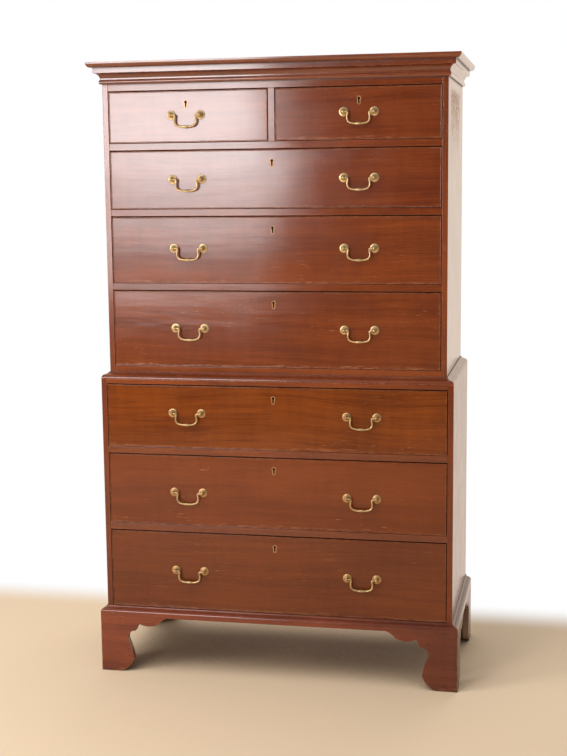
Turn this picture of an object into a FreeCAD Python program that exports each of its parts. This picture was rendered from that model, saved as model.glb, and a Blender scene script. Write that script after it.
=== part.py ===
import FreeCAD
import Part
import math
import os
from collections import namedtuple

# A mahogany chest on chest: an upper case of two short and three long drawers stands on a lower
# case of three long drawers, inside a waist moulding, on a plinth with shaped bracket feet.
# Sizes are in millimetres. +Z is up, the front faces -Y, and the origin is on the floor under
# the middle of the outline.

# The two cases
lower_width = 1066.0
lower_depth = 520.0
waist_step = 22.0                # the upper case stands in by this at the front and at both sides
side_thickness = 17.0
lower_bottom_thickness = 8.0
lower_top_thickness = 15.0
upper_floor_rise = 38.0          # from the foot of the upper case to its lowest drawer opening
upper_bottom_thickness = 20.0
upper_top_thickness = 20.0
frieze_height = 21.0             # plain rail between the top drawers and the cornice
housing_depth = 6.0              # boards and rails are let into the sides by this
housing_stop = 10.0              # the housings stop this far behind the front edge
back_thickness = 12.0
back_rebate = 8.0                # the back boards lap this far behind each side
back_planks = 5
plank_gap = 1.5
arris = 1.2                      # rounding of the front edges of sides, rails and divider

# Rails, dust boards and what guides and stops the drawers
rail_height = 21.0
rail_depth = 60.0
top_rail_lap = 2.0               # the top rail is this much deeper than a drawer front
dust_board_thickness = 12.0
divider_width = 20.0
divider_tenon_width = 12.0
divider_tenon_depth = 10.0
divider_tenon_length = 6.0
guide_width = 16.0
guide_height = 30.0
stop_width = 40.0
stop_depth = 25.0
stop_room = 2.3                  # between a drawer stop and the drawer bottom over it
stop_inset = 90.0                # from the side of the opening to the middle of a drawer stop

# Clear heights of the drawer openings, and the handle pivots above the middle of each opening
lower_third_opening = 242.0
lower_second_opening = 218.0
lower_first_opening = 193.0
upper_third_opening = 229.0
upper_second_opening = 199.0
upper_first_opening = 173.0
top_opening = 152.0
lower_third_pivot_rise = 0.5
lower_second_pivot_rise = -6.0
lower_first_pivot_rise = 11.0
upper_third_pivot_rise = 1.5
upper_second_pivot_rise = 5.0
upper_first_pivot_rise = 0.5
top_pivot_rise = 3.5
lower_handle_out = 265.0         # from the middle of the case to the middle of a handle
upper_handle_out = 256.0
keyhole_drop = 41.0              # from the top of the opening to the middle of the keyhole

# Plinth and bracket feet
foot_thickness = 18.0            # the plinth also projects this far beyond the lower case
foot_flat = 58.0
toe_reach = 105.0                # from the foot's outer corner
toe_height = 44.0
toe_bow = 9.0
instep_in = 19.0                 # back from the toe to the ankle
instep_rise = 65.0
instep_bow = 2.0
ankle_out = 25.0                 # out from the ankle to the cusp
ankle_rise = 23.0
cusp_out = 11.0
cusp_rise = 22.5
lobe_length = 62.0
lobe_bow = 7.0
tail_length = 29.0               # from the lobe to the bracket's end under the plinth
tail_rise = 21.5
tail_bow = 3.0
rear_bracket_flat = 70.0
rear_bracket_reach = 130.0
block_size = 36.0
block_lift = 4.0                 # the corner blocks stay this far off the floor
plinth_thickness = 22.0
plinth_width = 68.0
plinth_round = 10.0
rear_rail_depth = 60.0

# Base moulding: a cove between a foot fillet and a rounded lip, just below the lowest drawer
base_foot_height = 1.0
base_lip_out = 3.0
base_lip_height = 3.5
base_reveal = 0.5                # case edge left bare between the lip and the drawer opening

# Waist moulding: a fillet flush with the lower case, an ovolo and a shallow cove up to the upper case
waist_fillet_height = 1.5
waist_ovolo_height = 10.0
waist_ovolo_in = 9.0
waist_cove_height = 7.5
waist_cove_bow = 1.5
waist_lip = 2.0                  # level top of the moulding beside the upper case

# Cornice, from its foot up: bead, neck, cove, fillet, soffit, ovolo and top fillet
cornice_bead_height = 13.0
cornice_bead_out = 8.0
cornice_neck_out = 5.0
cornice_neck_height = 4.0
cornice_cove_height = 15.0
cornice_cove_out = 17.0
cornice_fillet_height = 15.5
cornice_soffit = 7.5
cornice_ovolo_height = 12.5
cornice_ovolo_out = 8.5
cornice_top_height = 3.0

# Drawers
front_thickness = 20.0
front_gap_top = 2.5
front_gap_side = 1.5
front_gap_bottom = 0.8
running_gap = 0.3                # between the drawer sides and the boards they run on
bead_width = 3.0
bead_proud = 1.2
bead_depth = 5.0
lining_thickness = 9.0
lining_drop = 6.0                # the drawer sides stop this far below the top of the opening
drawer_back_drop = 8.0           # and the drawer back this much lower again
drawer_bottom_thickness = 7.0
drawer_bottom_rise = 7.0
groove_depth = 5.0
drawer_air = 8.0                 # between the drawer and the back boards
dovetail_lap = 2.0               # front wood left between the dovetails and the edge beads
dovetail_pitch = 48.0
dovetail_margin = 10.0
dovetail_root_share = 0.5
dovetail_tip_share = 0.74

# Handles: two posts through round roses carry a swan-necked bail
post_spacing = 89.0
head_radius = 5.4
neck_radius = 3.6
neck_length = 0.6
stem_radius = 2.6
stem_clearance = 0.1
stem_end = 2.0
rose_dome_radius = 7.5
rose_cove_width = 3.5
rose_rim_width = 2.5
rose_edge = 1.0
rose_rim_rise = 1.2
rose_cove_rise = 2.2
rose_dome_rise = 2.1
nut_size = 11.0
nut_thickness = 4.0
bail_radius = 2.8
pin_clearance = 0.05
pin_overrun = 3.0
bail_shoulder_in = 14.5          # from the post to the top bend of the bail
bail_waist_in = 11.5
bail_waist_drop = 15.0
bail_corner_in = 13.0
bail_corner_drop = 14.5          # from the waist of the bail down to its corner
bail_bow_drop = 4.5              # from the corner down to the grip
bail_shoulder_round = 4.5
bail_waist_round = 16.0
bail_corner_round = 13.0
bail_bow_round = 24.0
grip_inset = 3.2                 # from the last bend to where the grip starts to swell
grip_length = 20.0
grip_radius = 4.2

# Locks
key_head_radius = 4.2
key_slot_half = 2.4
key_slot_drop = 13.3
escutcheon_wall = 1.8
escutcheon_depth = 3.0
escutcheon_proud = 0.3
lock_width = 60.0
lock_margin = 5.0                # from the foot of the keyhole to the foot of the lock
lock_wall = 1.6
selvedge_thickness = 2.5
bolt_width = 24.0
bolt_thickness = 6.0
bolt_length = 30.0
bolt_throw = 8.0
bolt_clearance = 0.3             # round the bolt in its slots
bolt_play = 1.4                  # between the bolt and the lock's plates
talon_width = 10.0
talon_height = 6.0
mortise_spare = 1.0

# What follows from the sizes above
rose_radius = rose_dome_radius + rose_cove_width + rose_rim_width
rose_height = rose_edge + rose_rim_rise + rose_cove_rise + rose_dome_rise
pivot_standoff = rose_height + neck_length + head_radius
bail_drop = bail_waist_drop + bail_corner_drop + bail_bow_drop
grip_half = grip_length / 2.0
keyhole_half = (key_head_radius + key_slot_drop + key_slot_half) / 2.0
lock_depth = bolt_thickness + 2.0 * (bolt_play + lock_wall)
lock_height = keyhole_drop - front_gap_top + keyhole_half + lock_margin
stop_height = running_gap + drawer_bottom_rise - stop_room
top_rail_depth = front_thickness + top_rail_lap
cornice_out = cornice_neck_out + cornice_cove_out + cornice_soffit + cornice_ovolo_out
front_reach = max(pivot_standoff + head_radius, foot_thickness, cornice_out - waist_step)
lower_half = lower_width / 2.0
upper_half = lower_half - waist_step
lower_face = (front_reach - lower_depth) / 2.0
upper_face = lower_face + waist_step
case_back = lower_face + lower_depth
back_face = case_back - back_thickness
foot_height = toe_height + instep_rise + ankle_rise + cusp_rise + tail_rise
plinth_top = foot_height + plinth_thickness
lower_floor = plinth_top + lower_bottom_thickness
lower_openings = (lower_third_opening, lower_second_opening, lower_first_opening)
lower_ceiling = lower_floor + sum(lower_openings) + rail_height * (len(lower_openings) - 1)
waist_level = lower_ceiling + lower_top_thickness
upper_floor = waist_level + upper_floor_rise
upper_openings = (upper_third_opening, upper_second_opening, upper_first_opening, top_opening)
upper_ceiling = upper_floor + sum(upper_openings) + rail_height * (len(upper_openings) - 1)
cornice_foot = upper_ceiling + frieze_height
cornice_height = (cornice_bead_height + cornice_neck_height + cornice_cove_height
                  + cornice_fillet_height + cornice_ovolo_height + cornice_top_height)
top_level = cornice_foot + cornice_height
far = lower_width + lower_depth

Bay = namedtuple("Bay", "name left right floor ceiling face handles key_x pivot_z")


def box(left, right, front, back, low, high):
    return Part.makeBox(right - left, back - front, high - low, FreeCAD.Vector(left, front, low))


def rod(radius, start, end):
    return Part.makeCylinder(radius, (end - start).Length, start, end - start)


def prism(points, along):
    """A flat outline of corner points, pushed along a vector."""
    return Part.Face(Part.makePolygon(points + points[:1])).extrude(along)


def bowed(start, end, bow):
    """The point an arc passes through; a positive bow lies to the left of start to end."""
    middle_a = (start[0] + end[0]) / 2.0
    middle_b = (start[1] + end[1]) / 2.0
    run_a = end[0] - start[0]
    run_b = end[1] - start[1]
    chord = math.hypot(run_a, run_b)
    return (middle_a - run_b / chord * bow, middle_b + run_a / chord * bow)


def outline(start, steps, place):
    """A closed face of lines and arcs; each step is an end point and the bow of its stretch."""
    edges = []
    here = start
    for end, bow in steps + [(start, 0.0)]:
        if bow == 0.0:
            edges.append(Part.LineSegment(place(*here), place(*end)).toShape())
        else:
            through = bowed(here, end, bow)
            edges.append(Part.Arc(place(*here), place(*through), place(*end)).toShape())
        here = end
    return Part.Face(Part.Wire(edges))


def moulded(start, end, side):
    """A step along a cove (side 1) or an ovolo (side -1) that ends level or upright."""
    run = abs(end[0] - start[0])
    rise = abs(end[1] - start[1])
    lean = math.atan2(min(run, rise), max(run, rise))
    return (end, side * math.hypot(run, rise) / 2.0 * math.tan(lean / 2.0))


def round_edges(solid, radius, chosen):
    return solid.makeFillet(radius, [edge for edge in solid.Edges if chosen(edge.BoundBox)])


def mitre_wedges(half, face):
    """Plans of the front, left and right runs of a frame that is mitred at the front corners."""
    low = FreeCAD.Vector(0, 0, -far)
    up = FreeCAD.Vector(0, 0, 2.0 * far + top_level)
    left = FreeCAD.Vector(-half, face, 0) + low
    right = FreeCAD.Vector(half, face, 0) + low
    left_out = left + FreeCAD.Vector(-far, -far, 0)
    right_out = right + FreeCAD.Vector(far, -far, 0)
    left_in = left + FreeCAD.Vector(half, half, 0)
    behind_left = FreeCAD.Vector(-half - far, face + far, 0) + low
    behind_right = FreeCAD.Vector(half + far, face + far, 0) + low
    behind_middle = FreeCAD.Vector(0, face + far, 0) + low
    return {
        "front": prism([left_out, right_out, left_in], up),
        "left": prism([left_out, left_in, behind_middle, behind_left], up),
        "right": prism([right_out, left_in, behind_middle, behind_right], up),
    }


def mitred_run(start, steps, half, face, foot):
    """Front, left and right lengths of one moulding; the profile is (out, up) from case and foot."""
    reach = max([start[0]] + [step[0][0] for step in steps])
    wedges = mitre_wedges(half, face)
    profile = outline(start, steps, lambda out, up: FreeCAD.Vector(-half - reach, face - out, foot + up))
    front = profile.extrude(FreeCAD.Vector(2.0 * (half + reach), 0, 0)).common(wedges["front"])
    run = FreeCAD.Vector(0, case_back - face + reach, 0)
    profile = outline(start, steps, lambda out, up: FreeCAD.Vector(-half - out, face - reach, foot + up))
    left = profile.extrude(run).common(wedges["left"])
    profile = outline(start, steps, lambda out, up: FreeCAD.Vector(half + out, face - reach, foot + up))
    right = profile.extrude(run).common(wedges["right"])
    return front.Solids + left.Solids + right.Solids


def tongued_board(half, front, back, low, high, stop):
    """A board between the sides with a tongue along each end, from the stop to its back edge."""
    body = box(-half, half, front, back, low, high)
    tongue = box(-half - housing_depth, half + housing_depth, front + stop, back, low, high)
    return body.fuse(tongue).removeSplitter()


def drawer_rail(half, face, floor):
    """A rail with its top at a drawer's floor and its front edges eased."""
    rail = tongued_board(half, face, face + rail_depth, floor - rail_height, floor, housing_stop)
    return ease_front(rail, face)


def ease_front(solid, face):
    """Rounds the long level edges on the front face."""
    def on_front(bounds):
        return bounds.XLength > rail_depth and bounds.YMax < face + arris and bounds.ZLength < arris
    return round_edges(solid, arris, on_front)


def row_levels(floor, openings):
    """Floor and ceiling of each opening in one case, from the bottom up."""
    levels = []
    for opening in openings:
        levels.append((floor, floor + opening))
        floor += opening + rail_height
    return levels


def make_bays():
    """Every drawer opening with the places of its handles and key."""
    bays = []
    inner = lower_half - side_thickness
    names = ("lower_third", "lower_second", "lower_first")
    rises = (lower_third_pivot_rise, lower_second_pivot_rise, lower_first_pivot_rise)
    for name, rise, (floor, ceiling) in zip(names, rises, row_levels(lower_floor, lower_openings)):
        handles = (("left", -lower_handle_out), ("right", lower_handle_out))
        pivot = (floor + ceiling) / 2.0 + rise
        bays.append(Bay(name, -inner, inner, floor, ceiling, lower_face, handles, 0.0, pivot))
    inner = upper_half - side_thickness
    names = ("upper_third", "upper_second", "upper_first")
    rises = (upper_third_pivot_rise, upper_second_pivot_rise, upper_first_pivot_rise)
    levels = row_levels(upper_floor, upper_openings)
    for name, rise, (floor, ceiling) in zip(names, rises, levels):
        handles = (("left", -upper_handle_out), ("right", upper_handle_out))
        pivot = (floor + ceiling) / 2.0 + rise
        bays.append(Bay(name, -inner, inner, floor, ceiling, upper_face, handles, 0.0, pivot))
    floor, ceiling = levels[-1]
    pivot = (floor + ceiling) / 2.0 + top_pivot_rise
    half_divider = divider_width / 2.0
    for name, left, right, middle in (("top_left", -inner, -half_divider, -upper_handle_out),
                                      ("top_right", half_divider, inner, upper_handle_out)):
        bays.append(Bay(name, left, right, floor, ceiling, upper_face, (("", middle),), middle, pivot))
    return bays


def bolt_plan(bay, grow):
    """Left, right, front and back of a lock bolt, grown all round."""
    middle = bay.face + front_thickness - lock_depth / 2.0
    half_width = bolt_width / 2.0 + grow
    half_thickness = bolt_thickness / 2.0 + grow
    return (bay.key_x - half_width, bay.key_x + half_width, middle - half_thickness, middle + half_thickness)


def bolt_mortises(bays):
    """Slots above the drawers that take the thrown bolts."""
    depth = bolt_throw - front_gap_top + mortise_spare
    return [box(*bolt_plan(bay, bolt_clearance), bay.ceiling, bay.ceiling + depth) for bay in bays]


def make_rails(bays):
    """Drawer rails of both cases, the top rail and the divider between the short drawers."""
    lower_inner = lower_half - side_thickness
    upper_inner = upper_half - side_thickness
    rails = []
    for floor, ceiling in row_levels(lower_floor, lower_openings)[1:]:
        rails.append(drawer_rail(lower_inner, lower_face, floor))
    for floor, ceiling in row_levels(upper_floor, upper_openings)[1:]:
        rails.append(drawer_rail(upper_inner, upper_face, floor))
    top_rail = tongued_board(upper_inner, upper_face, upper_face + top_rail_depth,
                             upper_ceiling, top_level - upper_top_thickness, housing_stop)
    rails.append(ease_front(top_rail, upper_face))
    divider = make_divider()
    rails = [rail.cut([divider] + bolt_mortises(bays)) for rail in rails]
    return rails + [divider]


def make_divider():
    """The upright between the two short drawers, stub-tenoned above and below."""
    half = divider_width / 2.0
    floor, ceiling = row_levels(upper_floor, upper_openings)[-1]
    post = box(-half, half, upper_face, upper_face + rail_depth, floor, ceiling)
    post = round_edges(post, arris, lambda bounds: bounds.YMax < upper_face + arris
                       and bounds.ZLength > divider_width)
    tenon_front = upper_face + (top_rail_depth - divider_tenon_depth) / 2.0
    half_tenon = divider_tenon_width / 2.0
    tenon = box(-half_tenon, half_tenon, tenon_front, tenon_front + divider_tenon_depth,
                floor - divider_tenon_length, ceiling + divider_tenon_length)
    return post.fuse(tenon).removeSplitter()


def make_dust_boards(bays):
    """Dust boards behind the rails, the short drawers' middle guide and the drawer stops."""
    boards = []
    for half, face, floor, openings in (
            (lower_half - side_thickness, lower_face, lower_floor, lower_openings),
            (upper_half - side_thickness, upper_face, upper_floor, upper_openings)):
        for level, ceiling in row_levels(floor, openings)[1:]:
            boards.append(tongued_board(half, face + rail_depth, back_face,
                                        level - dust_board_thickness, level, 0.0))
    top_floor = row_levels(upper_floor, upper_openings)[-1][0]
    boards.append(box(-guide_width / 2.0, guide_width / 2.0, upper_face + rail_depth, back_face,
                      top_floor, top_floor + guide_height))
    return boards + make_stops(bays)


def make_stops(bays):
    """Two small blocks behind each drawer front, glued to the rail or board under it."""
    stops = []
    for bay in bays:
        front = bay.face + front_thickness + running_gap
        for middle in (bay.left + stop_inset, bay.right - stop_inset):
            stops.append(box(middle - stop_width / 2.0, middle + stop_width / 2.0,
                             front, front + stop_depth, bay.floor, bay.floor + stop_height))
    return stops


def make_case_boards(bays):
    """Top and bottom boards of each case, as (lower pair, upper pair)."""
    inner = lower_half - side_thickness
    lower_bottom = tongued_board(inner, lower_face, back_face, plinth_top, lower_floor, housing_stop)
    lower_top = tongued_board(inner, lower_face, back_face, lower_ceiling, waist_level, housing_stop)
    lower_top = ease_front(lower_top, lower_face).cut(bolt_mortises(bays))
    inner = upper_half - side_thickness
    upper_bottom = tongued_board(inner, upper_face, back_face, upper_floor - upper_bottom_thickness,
                                 upper_floor, housing_stop)
    upper_top = tongued_board(inner, upper_face, back_face, top_level - upper_top_thickness,
                              top_level, housing_stop)
    return [lower_bottom, lower_top], [ease_front(upper_bottom, upper_face), upper_top]


def make_back(half, low, high):
    """Upright back boards, side by side with a small gap."""
    inner = half - side_thickness + back_rebate
    pitch = (2.0 * inner + plank_gap) / back_planks
    planks = []
    for number in range(back_planks):
        left = -inner + number * pitch
        planks.append(box(left, left + pitch - plank_gap, back_face, case_back, low, high))
    return planks


def make_sides(half, face, low, high, let_in):
    """Left and right side of a case, housed for every board that is let into them."""
    rebate = half - side_thickness + back_rebate
    sides = []
    for left, right in ((-half, -half + side_thickness), (half - side_thickness, half)):
        side = box(left, right, face, case_back, low, high)
        side = round_edges(side, arris, lambda bounds: bounds.YMax < face + arris
                           and bounds.ZLength > rail_height)
        back_space = box(-rebate, rebate, back_face, case_back, low, high)
        sides.append(side.cut([back_space] + let_in))
    return sides


def make_cornice():
    """Three mitred lengths: bead, neck, cove, fillet, soffit, ovolo and top fillet."""
    bead_top = cornice_bead_height
    cove_foot = bead_top + cornice_neck_height
    cove_top = cove_foot + cornice_cove_height
    soffit = cove_top + cornice_fillet_height
    ovolo_top = soffit + cornice_ovolo_height
    cove_out = cornice_neck_out + cornice_cove_out
    crown_foot = cove_out + cornice_soffit
    bead_bow = cornice_bead_out - cornice_neck_out
    steps = [
        ((cornice_neck_out, 0.0), 0.0),
        ((cornice_neck_out, bead_top), -bead_bow),
        ((cornice_neck_out, cove_foot), 0.0),
        moulded((cornice_neck_out, cove_foot), (cove_out, cove_top), 1.0),
        ((cove_out, soffit), 0.0),
        ((crown_foot, soffit), 0.0),
        moulded((crown_foot, soffit), (cornice_out, ovolo_top), -1.0),
        ((cornice_out, cornice_height), 0.0),
        ((0.0, cornice_height), 0.0),
    ]
    return mitred_run((0.0, 0.0), steps, upper_half, upper_face, cornice_foot)


def make_waist_moulding():
    """Three mitred lengths on the lower case that frame the foot of the upper one."""
    ovolo_top = waist_fillet_height + waist_ovolo_height
    cove_top = ovolo_top + waist_cove_height
    ovolo_out = waist_step - waist_ovolo_in
    steps = [
        ((waist_step, 0.0), 0.0),
        ((waist_step, waist_fillet_height), 0.0),
        moulded((waist_step, waist_fillet_height), (ovolo_out, ovolo_top), -1.0),
        ((waist_lip, cove_top), waist_cove_bow),
        ((0.0, cove_top), 0.0),
    ]
    return mitred_run((0.0, 0.0), steps, upper_half, upper_face, waist_level)


def make_base_moulding():
    """The coved moulding round the lower case and the plinth frame under it, with its rear rail."""
    base_foot_out = foot_thickness - plinth_round
    lip_top = lower_bottom_thickness - base_reveal
    cove_top = lip_top - base_lip_height
    cove = [
        ((base_foot_out, 0.0), 0.0),
        ((base_foot_out, base_foot_height), 0.0),
        moulded((base_foot_out, base_foot_height), (base_lip_out, cove_top), 1.0),
        moulded((base_lip_out, cove_top), (0.0, lip_top), -1.0),
    ]
    round_foot = plinth_thickness - plinth_round
    frame = [
        ((foot_thickness, 0.0), 0.0),
        ((foot_thickness, round_foot), 0.0),
        moulded((foot_thickness, round_foot), (foot_thickness - plinth_round, plinth_thickness), -1.0),
        ((foot_thickness - plinth_width, plinth_thickness), 0.0),
    ]
    moulding = mitred_run((0.0, 0.0), cove, lower_half, lower_face, plinth_top)
    inner = plinth_width - foot_thickness
    plinth = mitred_run((-inner, 0.0), frame, lower_half, lower_face, foot_height)
    rear = box(inner - lower_half, lower_half - inner, case_back - rear_rail_depth, case_back,
               foot_height, plinth_top)
    return moulding + plinth + [rear]


def bracket_steps():
    """Outline of a bracket foot from its outer corner: reach along the case, height from the floor."""
    ankle = (toe_reach - instep_in, toe_height + instep_rise)
    cusp = (ankle[0] + ankle_out, ankle[1] + ankle_rise)
    lobe = (cusp[0] + cusp_out, cusp[1] + cusp_rise)
    lobe_end = (lobe[0] + lobe_length, lobe[1])
    return [
        ((foot_flat, 0.0), 0.0),
        ((toe_reach, toe_height), -toe_bow),
        (ankle, -instep_bow),
        moulded(ankle, cusp, 1.0),
        (lobe, 0.0),
        (lobe_end, -lobe_bow),
        ((lobe_end[0] + tail_length, foot_height), tail_bow),
        ((0.0, foot_height), 0.0),
    ]


def make_feet():
    """Mitred brackets at the front corners, side and plain rear brackets at the back corners."""
    outer = lower_half + foot_thickness
    front = lower_face - foot_thickness
    wedges = mitre_wedges(lower_half, lower_face)
    through = FreeCAD.Vector(0, foot_thickness, 0)
    brackets = []
    for hand, side in ((-1.0, "left"), (1.0, "right")):
        across = FreeCAD.Vector(-hand * foot_thickness, 0, 0)
        face = outline((0.0, 0.0), bracket_steps(),
                       lambda reach, up: FreeCAD.Vector(hand * (outer - reach), front, up))
        brackets.append(face.extrude(through).common(wedges["front"]))
        face = outline((0.0, 0.0), bracket_steps(),
                       lambda reach, up: FreeCAD.Vector(hand * outer, front + reach, up))
        brackets.append(face.extrude(across).common(wedges[side]))
        face = outline((0.0, 0.0), bracket_steps(),
                       lambda reach, up: FreeCAD.Vector(hand * outer, case_back - reach, up))
        brackets.append(face.extrude(across))
        rear = [
            FreeCAD.Vector(hand * lower_half, case_back - foot_thickness, 0),
            FreeCAD.Vector(hand * (lower_half - rear_bracket_flat), case_back - foot_thickness, 0),
            FreeCAD.Vector(hand * (lower_half - rear_bracket_reach), case_back - foot_thickness, foot_height),
            FreeCAD.Vector(hand * lower_half, case_back - foot_thickness, foot_height),
        ]
        brackets.append(prism(rear, through))
    return [solid for bracket in brackets for solid in bracket.Solids]


def make_foot_blocks():
    """Square corner blocks behind the brackets, up to the plinth frame."""
    blocks = []
    for left in (-lower_half, lower_half - block_size):
        for front in (lower_face, case_back - foot_thickness - block_size):
            blocks.append(box(left, left + block_size, front, front + block_size, block_lift, foot_height))
    return blocks


def drawer_extent(bay):
    """Left, right, low and high of a drawer front, and the back of its box."""
    left = bay.left + front_gap_side
    right = bay.right - front_gap_side
    return left, right, bay.floor + front_gap_bottom, bay.ceiling - front_gap_top, back_face - drawer_air


def drawer_side(left, bay, back):
    """One drawer side with the tails that enter the drawer front."""
    right = left + lining_thickness
    low = bay.floor + running_gap
    high = bay.ceiling - lining_drop
    shoulder = bay.face + front_thickness
    side = box(left, right, shoulder, back, low, high)
    tip_y = bay.face + bead_depth + dovetail_lap
    first = bay.floor + front_gap_bottom + bead_width + dovetail_margin
    run = high - dovetail_margin - first
    count = max(2, round(run / dovetail_pitch))
    pitch = run / count
    tails = []
    for number in range(count):
        middle = first + (number + 0.5) * pitch
        root = pitch * dovetail_root_share / 2.0
        tip = pitch * dovetail_tip_share / 2.0
        corners = [(shoulder, middle - root), (tip_y, middle - tip),
                   (tip_y, middle + tip), (shoulder, middle + root)]
        tails.append(prism([FreeCAD.Vector(left, y, z) for y, z in corners],
                           FreeCAD.Vector(lining_thickness, 0, 0)))
    return side.fuse(tails).removeSplitter()


def drawer_beads(bay):
    """Four mitred strips let in round the edge of a drawer front, with a rounded nose."""
    left, right, low, high, back = drawer_extent(bay)
    nose = bay.face - bead_proud
    inner = [(left + bead_width, low + bead_width), (right - bead_width, low + bead_width),
             (right - bead_width, high - bead_width), (left + bead_width, high - bead_width)]
    outer = [(left, low), (right, low), (right, high), (left, high)]
    strips = []
    for number in range(len(outer)):
        following = (number + 1) % len(outer)
        corners = [outer[number], outer[following], inner[following], inner[number]]
        strip = prism([FreeCAD.Vector(x, nose, z) for x, z in corners],
                      FreeCAD.Vector(0, bead_proud + bead_depth, 0))

        def long_on_nose(bounds):
            return bounds.YMax < nose + bead_proud and max(bounds.XLength, bounds.ZLength) > 2.0 * bead_width
        strips.append(round_edges(strip, bead_proud, long_on_nose))
    return strips


def keyhole(bay, grow, front, back):
    """A keyhole-shaped rod along Y: a round head over a slot with a round end."""
    middle = bay.ceiling - keyhole_drop
    head_z = middle + keyhole_half - key_head_radius
    foot_z = head_z - key_slot_drop
    along = FreeCAD.Vector(0, back - front, 0)
    head = FreeCAD.Vector(bay.key_x, front, head_z)
    foot = FreeCAD.Vector(bay.key_x, front, foot_z)
    half = key_slot_half + grow
    slot = box(bay.key_x - half, bay.key_x + half, front, back, foot_z, head_z)
    ends = [rod(key_head_radius + grow, head, head + along), rod(half, foot, foot + along)]
    return slot.fuse(ends).removeSplitter()


def lock_space(bay):
    """The block let into the back of a drawer front that the lock fills."""
    high = bay.ceiling - front_gap_top
    back = bay.face + front_thickness
    return box(bay.key_x - lock_width / 2.0, bay.key_x + lock_width / 2.0, back - lock_depth, back,
               high - lock_height, high)


def make_lock(bay):
    """A lock case of thin plates with its keyhole and the slot for the bolt."""
    high = bay.ceiling - front_gap_top
    back = bay.face + front_thickness
    front = back - lock_depth
    half = lock_width / 2.0 - lock_wall
    room = box(bay.key_x - half, bay.key_x + half, front + lock_wall, back - lock_wall,
               high - lock_height + lock_wall, high - selvedge_thickness)
    slot = box(*bolt_plan(bay, bolt_clearance), high - 2.0 * selvedge_thickness, high)
    return lock_space(bay).cut([room, slot, keyhole(bay, 0.0, front, front + lock_wall)])


def make_bolt(bay):
    """The bolt in its drawn place, flush with the drawer's top edge, with a talon for the key."""
    high = bay.ceiling - front_gap_top
    left, right, front, back = bolt_plan(bay, 0.0)
    bolt = box(left, right, front, back, high - bolt_length, high)
    half = talon_width / 2.0
    talon = box(bay.key_x - half, bay.key_x + half, front, back, high - bolt_length,
                high - bolt_length + talon_height)
    return bolt.cut(talon)


def make_escutcheon(bay):
    """The brass lining of a keyhole, let into the drawer front."""
    front = bay.face - escutcheon_proud
    back = bay.face + escutcheon_depth
    return keyhole(bay, escutcheon_wall, front, back).cut(keyhole(bay, 0.0, front, back))


def post_places(bay):
    """Where the handle posts stand, as (x, z)."""
    return [(middle + hand * post_spacing / 2.0, bay.pivot_z)
            for label, middle in bay.handles for hand in (-1.0, 1.0)]


def make_rose(x, z, face):
    """A round stepped plate behind a handle post."""
    hole = stem_radius + stem_clearance
    rim = (rose_radius - rose_rim_width, rose_edge + rose_rim_rise)
    dome = (rose_dome_radius, rim[1] + rose_cove_rise)
    steps = [
        ((rose_radius, 0.0), 0.0),
        ((rose_radius, rose_edge), 0.0),
        moulded((rose_radius, rose_edge), rim, -1.0),
        moulded(rim, dome, 1.0),
        moulded(dome, (neck_radius, rose_height), -1.0),
        ((hole, rose_height), 0.0),
    ]
    section = outline((hole, 0.0), steps, lambda out, up: FreeCAD.Vector(out, -up, 0))
    rose = section.revolve(FreeCAD.Vector(0, 0, 0), FreeCAD.Vector(0, 1, 0), 360)
    rose.translate(FreeCAD.Vector(x, face, z))
    return rose


def make_post(x, z, face):
    """A post with a round head, bored across for the bail, and a stem through the drawer front."""
    tip = FreeCAD.Vector(x, face + front_thickness + nut_thickness + stem_end, z)
    seat = FreeCAD.Vector(x, face - rose_height, z)
    head = FreeCAD.Vector(x, face - pivot_standoff, z)
    post = rod(stem_radius, tip, seat).fuse([rod(neck_radius, seat, head), Part.makeSphere(head_radius, head)])
    half = FreeCAD.Vector(2.0 * head_radius, 0, 0)
    return post.cut(rod(bail_radius + pin_clearance, head - half, head + half)).removeSplitter()


def make_nut(x, z, face):
    """A six-sided nut on the stem, inside the drawer."""
    seat = face + front_thickness
    corner = nut_size / math.sqrt(3.0)
    ring = [FreeCAD.Vector(x + corner * math.cos(math.pi * side / 3.0), seat,
                           z + corner * math.sin(math.pi * side / 3.0)) for side in range(6)]
    nut = prism(ring, FreeCAD.Vector(0, nut_thickness, 0))
    hole = rod(stem_radius + stem_clearance, FreeCAD.Vector(x, seat, z),
               FreeCAD.Vector(x, seat + nut_thickness, z))
    return nut.cut(hole)


def rounded_path(corners):
    """A wire through corner points, each given with the radius of its bend."""
    edges = []
    here = corners[0][0]
    for number in range(1, len(corners) - 1):
        point, radius = corners[number]
        before = (corners[number - 1][0] - point).normalize()
        after = (corners[number + 1][0] - point).normalize()
        half_angle = before.getAngle(after) / 2.0
        set_back = radius / math.tan(half_angle)
        start = point + before * set_back
        end = point + after * set_back
        inward = (before + after).normalize()
        through = point + inward * (radius / math.sin(half_angle) - radius)
        edges.append(Part.LineSegment(here, start).toShape())
        edges.append(Part.Arc(start, through, end).toShape())
        here = end
    edges.append(Part.LineSegment(here, corners[-1][0]).toShape())
    return Part.Wire(edges)


def bail_arm(middle, pivot, hand):
    """One arm of a bail from its pin, round the swan neck and the bowed foot, to the grip."""
    def at(from_post, down):
        return FreeCAD.Vector(middle + hand * (post_spacing / 2.0 - from_post), pivot.y, pivot.z - down)
    path = rounded_path([
        (at(-pin_overrun, 0.0), 0.0),
        (at(bail_shoulder_in, 0.0), bail_shoulder_round),
        (at(bail_waist_in, bail_waist_drop), bail_waist_round),
        (at(bail_corner_in, bail_drop - bail_bow_drop), bail_corner_round),
        (at(post_spacing / 2.0 - grip_half - grip_inset, bail_drop), bail_bow_round),
        (at(post_spacing / 2.0 - grip_half, bail_drop), 0.0),
    ])
    ring = Part.Wire(Part.makeCircle(bail_radius, at(-pin_overrun, 0.0), FreeCAD.Vector(hand, 0, 0)))
    return path.makePipeShell([ring], True, False)


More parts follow.
